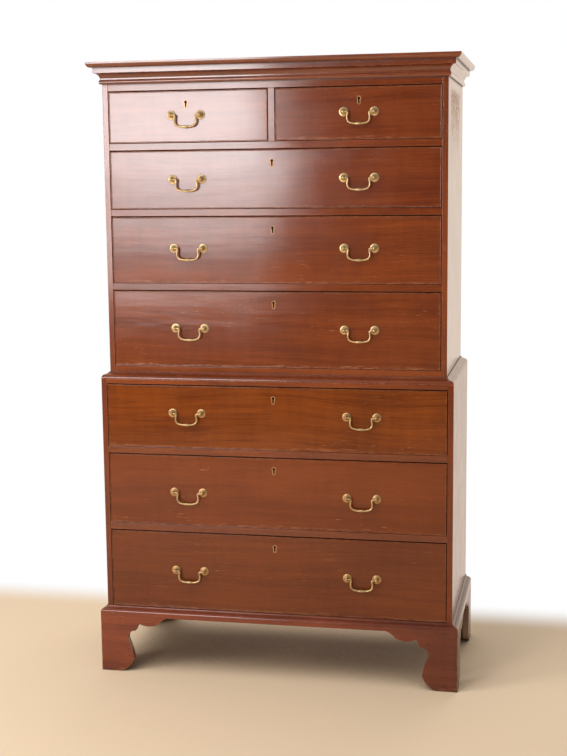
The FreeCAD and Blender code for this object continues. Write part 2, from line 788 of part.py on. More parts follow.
def make_bail(bay, middle):
    """A swan-necked bail that hangs from its two posts, with a swelled grip."""
    pivot = FreeCAD.Vector(middle, bay.face - pivot_standoff, bay.pivot_z)
    swell = grip_radius - bail_radius
    steps = [
        ((-grip_half, bail_radius), 0.0),
        ((grip_half, bail_radius), swell),
        ((grip_half, 0.0), 0.0),
    ]
    low = pivot.z - bail_drop
    section = outline((-grip_half, 0.0), steps,
                      lambda along, up: FreeCAD.Vector(middle + along, pivot.y, low + up))
    grip = section.revolve(FreeCAD.Vector(middle, pivot.y, low), FreeCAD.Vector(1, 0, 0), 360)
    arms = [bail_arm(middle, pivot, hand) for hand in (-1.0, 1.0)]
    return grip.fuse(arms).removeSplitter()


def make_drawer(bay):
    """All the pieces of one drawer, by node name."""
    left, right, low, high, back = drawer_extent(bay)
    sides = [drawer_side(left, bay, back), drawer_side(right - lining_thickness, bay, back)]
    inner_left = left + lining_thickness
    inner_right = right - lining_thickness
    bottom_low = bay.floor + running_gap + drawer_bottom_rise
    bottom_high = bottom_low + drawer_bottom_thickness
    bottom = box(inner_left - groove_depth, inner_right + groove_depth,
                 bay.face + front_thickness - groove_depth, back, bottom_low, bottom_high)
    rear = box(inner_left - groove_depth, inner_right + groove_depth, back - 2.0 * lining_thickness,
               back - lining_thickness, bottom_high, bay.ceiling - lining_drop - drawer_back_drop)
    beads = drawer_beads(bay)
    stems = []
    for x, z in post_places(bay):
        stems.append(rod(stem_radius + stem_clearance, FreeCAD.Vector(x, bay.face, z),
                         FreeCAD.Vector(x, bay.face + front_thickness, z)))
    key_cuts = [lock_space(bay), keyhole(bay, 0.0, bay.face, bay.face + front_thickness),
                keyhole(bay, escutcheon_wall, bay.face, bay.face + escutcheon_depth)]
    board = box(left, right, bay.face, bay.face + front_thickness, low, high)
    board = board.cut(sides + [bottom] + beads + stems + key_cuts)
    sides = [side.cut([bottom, rear]) for side in sides]
    fittings = [make_escutcheon(bay), make_lock(bay)]
    for x, z in post_places(bay):
        fittings += [make_rose(x, z, bay.face), make_post(x, z, bay.face), make_nut(x, z, bay.face)]
    nodes = {
        bay.name + "_drawer_front": [board] + beads,
        bay.name + "_drawer_box": sides + [bottom, rear],
        bay.name + "_drawer_fittings": fittings,
        bay.name + "_lock_bolt": [make_bolt(bay)],
    }
    for label, middle in bay.handles:
        name = "_".join(part for part in (bay.name, label, "bail") if part)
        nodes[name] = [make_bail(bay, middle)]
    return nodes


def make_case(bays):
    """All the fixed pieces of both cases, by node name."""
    rails = make_rails(bays)
    boards = make_dust_boards(bays)
    lower_boards, upper_boards = make_case_boards(bays)
    lower_sides = make_sides(lower_half, lower_face, plinth_top, waist_level, rails + boards + lower_boards)
    upper_sides = make_sides(upper_half, upper_face, waist_level, top_level, rails + boards + upper_boards)
    return {
        "upper_left_side": upper_sides[:1],
        "upper_right_side": upper_sides[1:],
        "upper_top_and_bottom": upper_boards,
        "lower_left_side": lower_sides[:1],
        "lower_right_side": lower_sides[1:],
        "lower_top_and_bottom": lower_boards,
        "drawer_rails": rails,
        "dust_boards": boards,
        "back_boards": make_back(lower_half, plinth_top, waist_level)
        + make_back(upper_half, waist_level, top_level),
        "cornice": make_cornice(),
        "waist_moulding": make_waist_moulding(),
        "base_moulding": make_base_moulding(),
        "bracket_feet": make_feet(),
        "foot_blocks": make_foot_blocks(),
    }


def main():
    bays = make_bays()
    nodes = make_case(bays)
    for bay in bays:
        nodes.update(make_drawer(bay))
    os.makedirs("parts", exist_ok=True)
    for name, solids in nodes.items():
        shape = solids[0] if len(solids) == 1 else Part.makeCompound(solids)
        shape.exportStep(os.path.join("parts", name + ".step"))


if __name__ == "__main__":
    main()
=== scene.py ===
from collections import namedtuple
import bpy
from mathutils import Matrix, Vector


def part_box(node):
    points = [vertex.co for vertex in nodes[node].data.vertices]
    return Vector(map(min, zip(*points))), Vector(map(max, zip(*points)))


# The looks of a mahogany chest on chest: polished fronts, aged brass, bare wood inside and behind.
# Everything is in metres: +Z is up and the drawers face -Y.

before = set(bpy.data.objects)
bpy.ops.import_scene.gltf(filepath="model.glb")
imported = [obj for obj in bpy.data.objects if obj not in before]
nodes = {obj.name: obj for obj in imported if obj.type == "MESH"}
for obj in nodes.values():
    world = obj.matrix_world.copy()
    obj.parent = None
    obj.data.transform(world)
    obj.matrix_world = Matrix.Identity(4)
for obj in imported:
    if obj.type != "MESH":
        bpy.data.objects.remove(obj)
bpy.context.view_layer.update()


def tone(red, green, blue):
    """A colour as it is seen on a screen, 0 to 255, turned into the light it gives."""
    def light(level):
        share = level / 255.0
        return share / 12.92 if share <= 0.04045 else ((share + 0.055) / 1.055) ** 2.4
    return (light(red), light(green), light(blue), 1.0)


BLACK = (0.0, 0.0, 0.0, 1.0)
WHITE = (1.0, 1.0, 1.0, 1.0)
DAYLIGHT = (1.0, 0.985, 1.0)
LAMPLIGHT = (1.0, 0.985, 0.96)
WARM_WALL = tone(255, 236, 219)
# Grime with painted shade, for closed corners and gaps
GRIME_AND_SHADE = tone(20, 9, 5)
DUST = tone(158, 128, 104)
RUST = tone(50, 36, 28)
# Painted shade for the right end of the plinth
SHADED_WOOD = tone(52, 22, 11)
WORN_MAHOGANY = tone(196, 134, 92)
SCRAPED_MAHOGANY = tone(222, 158, 88)
WORN_BARE_WOOD = tone(206, 172, 128)
# Tarnish with painted shade, for metal in hollows and inside locks
TARNISH_AND_SHADE = tone(26, 15, 9)
BROWN_BRASS = tone(116, 88, 58)
WAXED_BRASS = tone(200, 144, 92)
DARK_STEEL = tone(120, 118, 114)
LIGHT_STEEL = tone(172, 170, 166)
SPOTTED_STEEL = tone(84, 58, 40)
PALE_FLOOR = tone(246, 221, 188)
SHADED_FLOOR = tone(118, 98, 70)

UPPER_LOW, UPPER_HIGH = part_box("upper_right_side")
LOWER_LOW, LOWER_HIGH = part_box("lower_right_side")
BACK_LOW, BACK_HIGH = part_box("back_boards")
WAIST = LOWER_HIGH[2]
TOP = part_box("cornice")[1][2]

# Names that end in NOISE hold how often a noise changes in a metre along each axis, its detail and
# its roughness. Names that end in STEP hold where a soft step of a value begins and ends.
# The span that most of a noise lies in:
NOISE_SPAN = (0.3, 0.7)


class Recipe:
    """Places shader nodes in one tree."""

    def __init__(self, tree):
        self.tree = tree

    def feed(self, node, inputs):
        """Gives a node its inputs: a plain value is set on a socket, a socket is linked."""
        for key, value in inputs.items():
            if isinstance(value, bpy.types.NodeSocket):
                self.tree.links.new(value, node.inputs[key])
            else:
                node.inputs[key].default_value = value

    def put(self, kind, inputs, **settings):
        """A new node with its settings and inputs."""
        node = self.tree.nodes.new(kind)
        for name, value in settings.items():
            setattr(node, name, value)
        self.feed(node, inputs)
        return node

    def use(self, tree, inputs):
        """What comes out of a node group."""
        return self.put("ShaderNodeGroup", inputs, node_tree=tree).outputs

    def sums(self, operation, *values):
        return self.put("ShaderNodeMath", dict(enumerate(values)), operation=operation).outputs[0]

    def times(self, first, second):
        return self.sums("MULTIPLY", first, second)

    def plus(self, first, second):
        return self.sums("ADD", first, second)

    def less(self, first, second):
        return self.sums("SUBTRACT", first, second)

    def most(self, first, second):
        return self.sums("MAXIMUM", first, second)

    def vectors(self, operation, first, second):
        inputs = {0: first, 1: second}
        return self.put("ShaderNodeVectorMath", inputs, operation=operation).outputs["Vector"]

    def dot(self, first, second):
        inputs = {0: first, 1: second}
        return self.put("ShaderNodeVectorMath", inputs, operation="DOT_PRODUCT").outputs["Value"]

    def parts(self, vector):
        return self.put("ShaderNodeSeparateXYZ", {0: vector}).outputs

    def joined(self, x, y, z):
        return self.put("ShaderNodeCombineXYZ", {0: x, 1: y, 2: z}).outputs[0]

    def noise(self, vector, scale, detail, roughness):
        scaled = self.vectors("MULTIPLY", vector, scale)
        return self.put("ShaderNodeTexNoise", {"Vector": scaled, "Scale": 1.0, "Detail": detail,
                                               "Roughness": roughness}).outputs["Fac"]

    def eased(self, value, low, high, start=0.0, end=1.0):
        """A soft step of the value from low to high."""
        return self.put("ShaderNodeMapRange", {0: value, 1: low, 2: high, 3: start, 4: end},
                        interpolation_type="SMOOTHSTEP").outputs[0]

    def spread(self, value, low, high, start, end):
        """An even change of the value from low to high."""
        inputs = {0: value, 1: low, 2: high, 3: start, 4: end}
        return self.put("ShaderNodeMapRange", inputs).outputs[0]

    def stretched(self, noise, start, end):
        """A noise made to run from start to end."""
        return self.spread(noise, *NOISE_SPAN, start, end)

    def between(self, share, start, end):
        """The value that lies at that share of the way from start to end."""
        return self.spread(share, 0.0, 1.0, start, end)

    def blended(self, share, first, second):
        """A mix of two colours."""
        inputs = {0: share, 6: first, 7: second}
        return self.put("ShaderNodeMix", inputs, data_type="RGBA").outputs[2]

    def chosen(self, share, first, second):
        """One of two vectors."""
        inputs = {0: share, 4: first, 5: second}
        return self.put("ShaderNodeMix", inputs, data_type="VECTOR").outputs[1]

    def openness(self, reach):
        """How open the surface lies within that reach: low in corners and under things."""
        return self.put("ShaderNodeAmbientOcclusion", {"Distance": reach}, samples=8).outputs["AO"]


def group(name, inputs, outputs):
    """A new node group: a recipe for its tree, and the sockets of what goes in."""
    tree = bpy.data.node_groups.new(name, "ShaderNodeTree")
    for label, kind in inputs:
        tree.interface.new_socket(label, in_out="INPUT", socket_type=kind)
    for label, kind in outputs:
        tree.interface.new_socket(label, in_out="OUTPUT", socket_type=kind)
    recipe = Recipe(tree)
    return recipe, recipe.put("NodeGroupInput", {}).outputs


# The figure of a board, with its axes along, through and across the grain
SWAY_NOISE = ((1.3, 3.0, 4.0), 2.0, 0.5)
STREAK_NOISE = ((1.3, 16.0, 38.0), 6.0, 0.68)
FIBRE_NOISE = ((7.0, 170.0, 360.0), 3.0, 0.6)
PORE_NOISE, PORE_STEP = ((60.0, 900.0, 1500.0), 1.0, 0.5), (0.6, 0.72)
CLOUD_NOISE = ((3.2, 4.0, 6.5), 4.0, 0.6)
RIPPLE_NOISE = ((42.0, 6.0, 7.0), 2.0, 0.5)
WARP_NOISE = ((1.7, 1.7, 2.3), 1.0, 0.5)
PLANE_NOISE = ((5.0, 7.0, 24.0), 2.0, 0.5)
# How far each part of it moves the colour between the dark and the light of the wood
STREAK_SHARE, FIBRE_SHARE, RIPPLE_SHARE, CLOUD_SHARE = 0.5, 0.2, 0.07, 0.23
# How far streaks sway, how high the surface stands, and how far one step of the seed shifts it
SWAY = 0.045
FIBRE_HEIGHT, PORE_DEPTH = 0.000012, 0.000008
WARP_HEIGHT, PLANE_HEIGHT = 0.0045, 0.00035
SEED_SHIFT = (3.71, 1.93, 2.37)


def wood_figure():
    """Streaks, fibres, clouds, ripples and pores of a board; the grain runs on the first axis."""
    recipe, given = group("Wood figure",
                          [("Grain", "NodeSocketVector"), ("Seed", "NodeSocketFloat"),
                           ("Light", "NodeSocketColor"), ("Dark", "NodeSocketColor"),
                           ("Streaks", "NodeSocketFloat"), ("Pores", "NodeSocketFloat"),
                           ("Waves", "NodeSocketFloat")],
                          [("Color", "NodeSocketColor"), ("Height", "NodeSocketFloat")])
    shift = recipe.joined(*[recipe.times(given["Seed"], step) for step in SEED_SHIFT])
    board = recipe.vectors("ADD", given["Grain"], shift)
    lift = recipe.between(recipe.noise(board, *SWAY_NOISE), -SWAY, SWAY)
    swayed = recipe.vectors("ADD", board, recipe.joined(0.0, 0.0, lift))
    streaks = recipe.noise(swayed, *STREAK_NOISE)
    fibres = recipe.noise(swayed, *FIBRE_NOISE)
    pores = recipe.eased(recipe.noise(swayed, *PORE_NOISE), *PORE_STEP)
    clouds = recipe.noise(board, *CLOUD_NOISE)
    ripples = recipe.noise(board, *RIPPLE_NOISE)
    streaked = recipe.times(recipe.stretched(streaks, -STREAK_SHARE, STREAK_SHARE),
                            given["Streaks"])
    fibred = recipe.stretched(fibres, -FIBRE_SHARE, FIBRE_SHARE)
    rippled = recipe.stretched(ripples, -RIPPLE_SHARE, RIPPLE_SHARE)
    clouded = recipe.stretched(clouds, 0.5 - CLOUD_SHARE, 0.5 + CLOUD_SHARE)
    share = recipe.plus(recipe.plus(streaked, fibred), recipe.plus(clouded, rippled))
    plain = recipe.blended(recipe.eased(share, 0.0, 1.0), given["Dark"], given["Light"])
    pored = recipe.blended(recipe.times(pores, given["Pores"]), plain, BLACK)
    grooves = recipe.less(recipe.times(fibres, FIBRE_HEIGHT), recipe.times(pores, PORE_DEPTH))
    warped = recipe.times(recipe.noise(board, *WARP_NOISE), WARP_HEIGHT)
    planed = recipe.times(recipe.noise(board, *PLANE_NOISE), PLANE_HEIGHT)
    waves = recipe.times(recipe.plus(warped, planed), given["Waves"])
    recipe.put("NodeGroupOutput", {"Color": pored, "Height": recipe.plus(grooves, waves)})
    return recipe.tree


# How far a surface turns at an edge that is rubbed, how open such an edge lies, how its wear is
# broken up, and how closed a corner is where grime and painted shade darken it
TURN_STEP, OPEN_STEP = (0.01, 0.16), (0.7, 0.95)
WEAR_NOISE, WEAR_STEP = ((60.0, 60.0, 60.0), 4.0, 0.65), (0.38, 0.62)
SHADE_AND_GRIME_STEP = (0.94, 0.35)


def edges_and_corners():
    """Where edges are rubbed, and where closed corners get grime and painted shade, as two masks.
    """
    recipe, given = group("Edges and corners",
                          [("Place", "NodeSocketVector"), ("Edge", "NodeSocketFloat"),
                           ("Corner", "NodeSocketFloat")],
                          [("Rubbed", "NodeSocketFloat"), ("Grime_and_shade", "NodeSocketFloat")])
    bent = recipe.put("ShaderNodeBevel", {"Radius": given["Edge"]}, samples=6).outputs[0]
    flat = recipe.put("ShaderNodeNewGeometry", {}).outputs["Normal"]
    turn = recipe.less(1.0, recipe.dot(bent, flat))
    openness = recipe.openness(given["Corner"])
    broken = recipe.eased(recipe.noise(given["Place"], *WEAR_NOISE), *WEAR_STEP)
    edge = recipe.times(recipe.eased(turn, *TURN_STEP), recipe.eased(openness, *OPEN_STEP))
    recipe.put("NodeGroupOutput", {"Rubbed": recipe.times(edge, broken),
                                   # The second mask darkens closed corners with grime and painted
                                   # shade.
                                   "Grime_and_shade": recipe.eased(openness, *SHADE_AND_GRIME_STEP)})
    return recipe.tree


# Scratches, nicks, the places that have them, and smudges
SCRATCH_NOISE, SCRATCH_STEP = ((24.0, 420.0, 420.0), 2.0, 0.6), (0.66, 0.75)
NICK_NOISE, NICK_STEP = ((110.0, 260.0, 260.0), 2.0, 0.6), (0.72, 0.78)
HANDLED_NOISE, HANDLED_STEP = ((5.0, 5.0, 7.0), 2.0, 0.5), (0.48, 0.64)
SMUDGE_NOISE = ((11.0, 11.0, 13.0), 4.0, 0.6)


def scuffs():
    """Sparse fine scratches along a surface, and smudges in its polish."""
    recipe, given = group("Scuffs", [("Place", "NodeSocketVector"), ("Seed", "NodeSocketFloat")],
                          [("Scratches", "NodeSocketFloat"), ("Smudges", "NodeSocketFloat")])
    shift = recipe.joined(given["Seed"], 0.0, given["Seed"])
    moved = recipe.vectors("ADD", given["Place"], shift)
    fine = recipe.eased(recipe.noise(moved, *SCRATCH_NOISE), *SCRATCH_STEP)
    nicks = recipe.eased(recipe.noise(moved, *NICK_NOISE), *NICK_STEP)
    handled = recipe.eased(recipe.noise(moved, *HANDLED_NOISE), *HANDLED_STEP)
    recipe.put("NodeGroupOutput", {"Scratches": recipe.times(recipe.most(fine, nicks), handled),
                                   "Smudges": recipe.noise(moved, *SMUDGE_NOISE)})
    return recipe.tree


WOOD = wood_figure()
EDGES = edges_and_corners()
SCUFFS = scuffs()


def new_material(name):
    """A material with a bare Principled shader, its recipe, and the coordinates of its object."""
    material = bpy.data.materials.new(name)
    material.use_nodes = True
    recipe = Recipe(material.node_tree)
    shader = material.node_tree.nodes["Principled BSDF"]
    return material, recipe, shader, recipe.put("ShaderNodeTexCoord", {}).outputs


def level_grain(recipe, place, normal):
    """Grain from left to right."""
    return place


def upright_grain(recipe, place, normal):
    """Grain up and down."""
    x, y, z = recipe.parts(place)
    return recipe.joined(z, y, x)


def mitred_grain(case_low, case_high):
    """Grain along the front and along the sides of a moulding round a case, split at the mitre."""
    def lay(recipe, place, normal):
        x, y, z = recipe.parts(place)
        beside = recipe.less(recipe.sums("ABSOLUTE", x), case_high[0])
        before = recipe.less(case_low[1], y)
        on_side = recipe.sums("GREATER_THAN", beside, before)
        return recipe.chosen(on_side, place, recipe.joined(y, x, z))
    return lay


# How squarely a face looks along Y when it belongs to the back of a drawer
SQUARE_ON = 0.7


def boxed_grain(recipe, place, normal):
    """Grain along Y on the sides and bottom of a drawer, along X on its back."""
    x, y, z = recipe.parts(place)
    facing = recipe.sums("ABSOLUTE", recipe.parts(normal)[1])
    across = recipe.sums("GREATER_THAN", facing, SQUARE_ON)
    return recipe.chosen(across, recipe.joined(y, x, z), place)


# How far grime and painted shade reach from a corner, how bare a scratch is, how much the grime
# roughens the surface, how far smudges change its roughness, how rough the coat is and how round
# the arrises look
SHADE_AND_GRIME_REACH = 0.012
SCRATCH_SHARE = 0.5
DIRT_ROUGHNESS = 0.5
SMUDGE_SPAN = (0.25, 0.75)
SMUDGE_CLEARER, SMUDGE_DULLER = 0.03, 0.04
COAT_ROUGHNESS = 0.11
ARRIS = 0.0012


def polished_wood(name, colours, seed, grain=level_grain, streaks=0.6, pores=0.2, wear=0.75,
                  worn=WORN_MAHOGANY, shade_and_grime=0.85, gloss=0.13, coat=0.3, waves=1.0, edge=0.003,
                  lean=(0.0, 0.0, 0.0), shine=0.5, matt=0.35, extra=None, spared=None, stains_and_shade=(),
                  dulled=None):
    """French-polished or waxed wood with rubbed edges, grime and painted shade in its corners and
    fine scratches.

    gloss is its roughness, matt how much rougher it is where bare, and lean a slight tilt of the
    whole board. extra masks more bare wood, spared keeps wear off, each of stains_and_shade is a
    mask and its colour (stains, dust and rust, and the painted shade on the plinth's right end),
    and dulled masks what has lost its polish."""
    light, dark = colours
    material, recipe, shader, where = new_material(name)
    place, normal = where["Object"], where["Normal"]
    along = grain(recipe, place, normal)
    figure = recipe.use(WOOD, {"Grain": along, "Seed": seed, "Light": light, "Dark": dark,
                               "Streaks": streaks, "Pores": pores, "Waves": waves})
    edges = recipe.use(EDGES, {"Place": place, "Edge": edge, "Corner": SHADE_AND_GRIME_REACH})
    scuffed = recipe.use(SCUFFS, {"Place": along, "Seed": seed})
    rubbed = recipe.times(edges["Rubbed"], wear)
    if spared:
        rubbed = recipe.times(rubbed, spared(recipe, place))
    bare = recipe.most(rubbed, recipe.times(scuffed["Scratches"], SCRATCH_SHARE))
    if extra:
        bare = recipe.most(bare, extra(recipe, place))
    # Grime and painted shade: the colour turns dark where corners, gaps and the wood round fittings
    # are closed in.
    shaded_and_soiled = recipe.times(edges["Grime_and_shade"], shade_and_grime)
    dull = recipe.most(bare, dulled(recipe, place, normal)) if dulled else bare
    coloured = recipe.blended(shaded_and_soiled, recipe.blended(bare, figure["Color"], worn), GRIME_AND_SHADE)
    # Most tints are stains, dust and rust; the one on the right end of the plinth is painted shade.
    for mask, tint in stains_and_shade:
        coloured = recipe.blended(mask(recipe, place, normal), coloured, tint)
    smooth = recipe.spread(scuffed["Smudges"], *SMUDGE_SPAN,
                           gloss - SMUDGE_CLEARER, gloss + SMUDGE_DULLER)
    roughened = recipe.plus(recipe.times(dull, matt), recipe.times(shaded_and_soiled, DIRT_ROUGHNESS))
    if coat:
        whole = recipe.less(1.0, recipe.most(dull, shaded_and_soiled))
        recipe.feed(shader, {"Coat Weight": recipe.times(whole, coat)})
    softened = recipe.put("ShaderNodeBevel", {"Radius": ARRIS}, samples=4).outputs[0]
    height = recipe.plus(figure["Height"], recipe.dot(place, lean))
    raised = recipe.put("ShaderNodeBump", {"Strength": 1.0, "Distance": 1.0, "Height": height,
                                           "Normal": softened})
    recipe.feed(shader, {"Base Color": coloured, "Roughness": recipe.plus(smooth, roughened),
                         "Coat Roughness": COAT_ROUGHNESS, "Specular IOR Level": shine,
                         "Normal": raised.outputs[0]})
    return material


# The scraped patch: where it thins out downwards, upwards, to the front and to the back, and how
# its flecks stand out from the noise at its rim and in its middle
FOOT_STEP, HEAD_STEP = (1.5, 1.72), (1.772, 1.752)
FRONT_STEP, BACK_STEP = (-0.21, -0.12), (0.21, 0.12)
FLECK_NOISE, FLECK_STEP = ((30.0, 55.0, 80.0), 5.0, 0.8), (-0.04, 0.06)
FLECK_LEVELS = (0.72, 0.5)
FLECK_SHARE, HAZE_SHARE = 0.85, 0.15


def scraped_patch(recipe, place):
    """A scraped patch near the top of the right side, in flecks over a thin haze."""
    y, z = recipe.parts(place)[1:3]
    high = recipe.times(recipe.eased(z, *FOOT_STEP), recipe.eased(z, *HEAD_STEP))
    deep = recipe.times(recipe.eased(y, *FRONT_STEP), recipe.eased(y, *BACK_STEP))
    within = recipe.times(high, deep)
    flecks = recipe.noise(place, *FLECK_NOISE)
    proud = recipe.less(flecks, recipe.between(within, *FLECK_LEVELS))
    scraped = recipe.times(recipe.eased(proud, *FLECK_STEP), FLECK_SHARE)
    return recipe.most(scraped, recipe.times(within, HAZE_SHARE))


# The rubbed band: how its height varies, how soft its upper edge is and how it is broken up
BAND_NOISE, BAND_HEIGHT = ((9.0, 9.0, 9.0), 3.0, 0.5), (0.002, 0.012)
BAND_EDGE = 0.002
BREAK_NOISE, BREAK_STEP = ((30.0, 30.0, 210.0), 5.0, 0.7), (0.47, 0.62)


def rubbed_foot(foot, strength):
    """A broken pale band along the foot of a piece, whose lower edge is at that height."""
    def mask(recipe, place):
        uneven = recipe.stretched(recipe.noise(place, *BAND_NOISE), *BAND_HEIGHT)
        height = recipe.less(recipe.parts(place)[2], uneven)
        near = recipe.eased(height, foot + BAND_EDGE, foot - BAND_EDGE)
        broken = recipe.eased(recipe.noise(place, *BREAK_NOISE), *BREAK_STEP)
        return recipe.times(recipe.times(near, broken), strength)
    return mask


# How far from a joint wear begins, and how far from it wear is whole
JOINT_NEAR, JOINT_FAR = 0.004, 0.012
UPWARDS, DOWNWARDS = 1.0, -1.0


def clear_of(joint, way):
    """Where wear may show above or below a glued joint at that height."""
    def mask(recipe, place):
        return recipe.eased(recipe.parts(place)[2], joint + way * JOINT_NEAR,
                            joint + way * JOINT_FAR)
    return mask


# How far a sawn edge looks along Y and lies behind the front, how far the top looks up, how thick
# the layer is that counts as top, how much dust lies there and how unevenly it has faded
SAWN_STEP, BEHIND_FRONT_STEP = (0.3, 0.7), (-0.2, -0.15)
LEVEL_STEP, TOP_LAYER = (0.6, 0.9), (0.02, 0.005)
DUST_SHARE = 0.9
FADE_NOISE, FADE_SHARE = ((5.0, 7.0, 5.0), 4.0, 0.6), (0.25, 0.6)


def sawn_edges(recipe, place, normal):
    """The sawn edges of the side brackets, dull and grey with dust."""
    facing = recipe.eased(recipe.sums("ABSOLUTE", recipe.parts(normal)[1]), *SAWN_STEP)
    behind = recipe.eased(recipe.parts(place)[1], *BEHIND_FRONT_STEP)
    return recipe.times(recipe.times(facing, behind), DUST_SHARE)


def dusty_top(recipe, place, normal):
    """The level top of the chest, dull with dust."""
    level = recipe.eased(recipe.parts(normal)[2], *LEVEL_STEP)
    low, high = (TOP - depth for depth in TOP_LAYER)
    return recipe.times(level, recipe.eased(recipe.parts(place)[2], low, high, 0.0, DUST_SHARE))


def faded_top(recipe, place, normal):
    """The same top, faded unevenly."""
    patches = recipe.stretched(recipe.noise(place, *FADE_NOISE), *FADE_SHARE)
    return recipe.times(dusty_top(recipe, place, normal), patches)


# Where painted shade darkens the plinth towards the right, and how much
DARK_STEP, DARK_SHARE = (0.15, 0.5), 0.35


def shaded_right_end(recipe, place, normal):
    """The right end of the plinth, darker than the rest: painted shade."""
    return recipe.eased(recipe.parts(place)[0], *DARK_STEP, 0.0, DARK_SHARE)


# Back boards of each case, how far the upper ones' numbers are from the lower ones', and how far
# the figure shifts from one board to the next, along and across
PLANKS = 5.0
UPPER_NUMBERS = 7.0
PLANK_ALONG, PLANK_ACROSS = 3.3, 0.7


def plank_place(recipe, place):
    """The number of the back board at a place, and how far off its middle line the place is."""
    width = BACK_HIGH[0] - BACK_LOW[0]
    upper_width = width - 2.0 * (LOWER_HIGH[0] - UPPER_HIGH[0])
    parts = recipe.parts(place)
    over = recipe.sums("GREATER_THAN", parts[2], WAIST)
    pitch = recipe.between(over, width / PLANKS, upper_width / PLANKS)
    count = recipe.sums("ROUND", recipe.sums("DIVIDE", parts[0], pitch))
    number = recipe.plus(count, recipe.times(over, UPPER_NUMBERS))
    return number, recipe.less(parts[0], recipe.times(count, pitch))


def planked_grain(recipe, place, normal):
    """Upright grain that differs from one back board to the next."""
    number = plank_place(recipe, place)[0]
    x, y, z = recipe.parts(place)
    return recipe.joined(recipe.plus(z, recipe.times(number, PLANK_ALONG)), y,
                         recipe.plus(x, recipe.times(number, PLANK_ACROSS)))


# Nails: how far from the middle of a board, their rows, their outline and how rusty they look
NAIL_ASIDE = 0.06
NAIL_ROWS = (BACK_LOW[2] + 0.02, (BACK_LOW[2] + WAIST) / 2.0, WAIST - 0.012,
             WAIST + 0.028, (WAIST + BACK_HIGH[2]) / 2.0, BACK_HIGH[2] - 0.012)
NAIL_STEP, NAIL_SHARE = (0.0065, 0.0035), 0.9


def nail_heads(recipe, place, normal):
    """Two rusty nail heads in each row across each back board, near the ends and the middle of
    each case."""
    off = plank_place(recipe, place)[1]
    height = recipe.parts(place)[2]
    aside = recipe.less(recipe.sums("ABSOLUTE", off), NAIL_ASIDE)
    spots = 0.0
    for row in NAIL_ROWS:
        above = recipe.less(height, row)
        away = recipe.sums("SQRT", recipe.plus(recipe.times(aside, aside),
                                               recipe.times(above, above)))
        spots = recipe.most(spots, recipe.eased(away, *NAIL_STEP))
    return recipe.times(spots, NAIL_SHARE)


# Metal: how round its arrises look, how far tarnish and painted shade reach from a corner of a
# handle and of a bolt, and how much of its metal look is lost under tarnish, painted shade or wax
METAL_ARRIS = 0.0012
HANDLE_SHADE_AND_TARNISH, BOLT_SHADE_AND_TARNISH = 0.004, 0.012
COVERED_METAL = 0.7
# Brass: its stains and how clean it is between and in them, its pits, what counts as its front,
# where tarnish and painted shade fill it, and how dark the rim of a keyhole lining is with painted
# shade and tarnish
STAIN_NOISE, STAIN_SPAN, STAIN_CLEAN = ((140.0, 140.0, 140.0), 4.0, 0.65), (0.35, 0.75), (1.0, 0.35)
PIT_NOISE, PIT_STRENGTH, PIT_DEPTH = ((900.0, 900.0, 900.0), 2.0, 0.5), 0.2, 0.0003
FORWARD, FORWARD_STEP = (0.0, -1.0, 0.0), (-0.2, 0.75)
HOLLOW_STEP = (0.25, 0.9)
RIM_SHARE = 0.8
# How far from the drawer front a keyhole lining begins and ends
LINING_FRONT, LINING_BACK = (-0.0022, -0.0008), (0.0035, 0.0045)
# How metallic brass is, how rough it is brown and clean, and what tarnish, painted shade and
# linings change
BRASS_METAL = 0.85
BRASS_ROUGHNESS = (0.5, 0.28)
HOLLOW_ROUGHNESS, LINING_SMOOTHNESS = 0.3, 0.16


def aged_brass(name, bright, face):
    """Cast brass, bright in front and brown on its flanks, with waxed keyhole linings let into a
    drawer front whose face is at that depth."""
    material, recipe, shader, where = new_material(name)
    place, normal = where["Object"], where["Normal"]
    edges = recipe.use(EDGES, {"Place": place, "Edge": METAL_ARRIS, "Corner": HANDLE_SHADE_AND_TARNISH})
    stains = recipe.noise(place, *STAIN_NOISE)
    pits = recipe.noise(place, *PIT_NOISE)
    forward = recipe.eased(recipe.dot(normal, FORWARD), *FORWARD_STEP)
    depth = recipe.parts(place)[1]
    front_start, front_end = (face + depth_in for depth_in in LINING_FRONT)
    back_start, back_end = (face + depth_in for depth_in in LINING_BACK)
    flush = recipe.times(recipe.eased(depth, front_start, front_end),
                         recipe.eased(depth, back_end, back_start))
    lining = recipe.times(flush, forward)
    clean = recipe.times(forward, recipe.spread(stains, *STAIN_SPAN, *STAIN_CLEAN))
    # Painted shade with tarnish: brass sides next to the wood, round keyhole linings and roses,
    # turn dark.
    rim = recipe.times(recipe.less(flush, lining), RIM_SHARE)
    # Painted shade: brass deeper than the lining that faces the front, as a lock plate seen through
    # a keyhole, turns dark.
    inside = recipe.times(recipe.eased(depth, back_start, back_end), forward)
    # Tarnish with painted shade in closed hollows, together with the two painted shades above.
    tarnished_and_shaded = recipe.most(recipe.eased(edges["Grime_and_shade"], *HOLLOW_STEP), recipe.most(rim, inside))
    coloured = recipe.blended(lining, recipe.blended(clean, BROWN_BRASS, bright), WAXED_BRASS)
    covered = recipe.times(recipe.most(tarnished_and_shaded, lining), COVERED_METAL)
    rough = recipe.plus(recipe.between(clean, *BRASS_ROUGHNESS),
                        recipe.times(tarnished_and_shaded, HOLLOW_ROUGHNESS))
    raised = recipe.put("ShaderNodeBump", {"Strength": PIT_STRENGTH, "Distance": PIT_DEPTH,
                                           "Height": pits})
    recipe.feed(shader, {"Base Color": recipe.blended(tarnished_and_shaded, coloured, TARNISH_AND_SHADE),
                         "Metallic": recipe.less(BRASS_METAL, covered),
                         "Roughness": recipe.less(rough, recipe.times(lining, LINING_SMOOTHNESS)),
                         "Normal": raised.outputs[0]})
    return material


